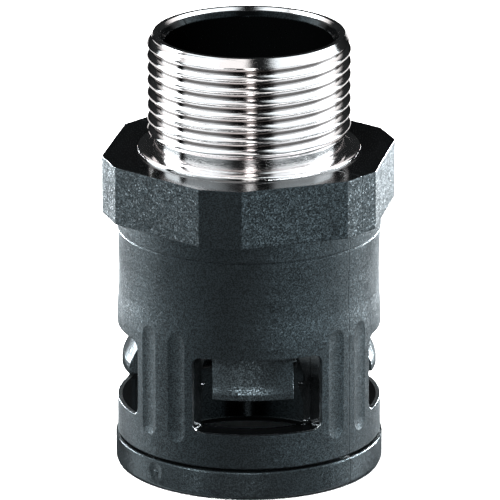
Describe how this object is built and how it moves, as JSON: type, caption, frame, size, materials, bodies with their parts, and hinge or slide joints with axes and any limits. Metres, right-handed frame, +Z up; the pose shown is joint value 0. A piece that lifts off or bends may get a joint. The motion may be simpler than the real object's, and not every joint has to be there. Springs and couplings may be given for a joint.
{
  "type": "liquidtight conduit connector",
  "caption": "Straight snap-in connector that seals corrugated conduit to a plated metal male thread, with a hexagon and a windowed skirt around a sliding locking clip.",
  "frame": {"origin": "centre of the bottom ring's underside, where the thread's axis meets it", "axes": "+Z up the thread's axis towards the thread; -Y through the middle of the front window"},
  "size_m": [0.0328, 0.0328, 0.0493],
  "materials": {
    "body": "fine spark-eroded texture",
    "thread_insert": "bright nickel plating on brass",
    "locking_clip": "satin",
    "conduit_seal": "matt"
  },
  "bodies": {
    "body": {"body": "body", "thread_insert": "thread_insert", "conduit_seal": "conduit_seal"},
    "locking_clip": {"locking_clip": "locking_clip"}
  },
  "joints": [
    {"name": "clip_slide", "type": "slide", "parent": "body", "child": "locking_clip", "axis": [0, 0, -1], "range_m": [0, 0.0038]}
  ]
}
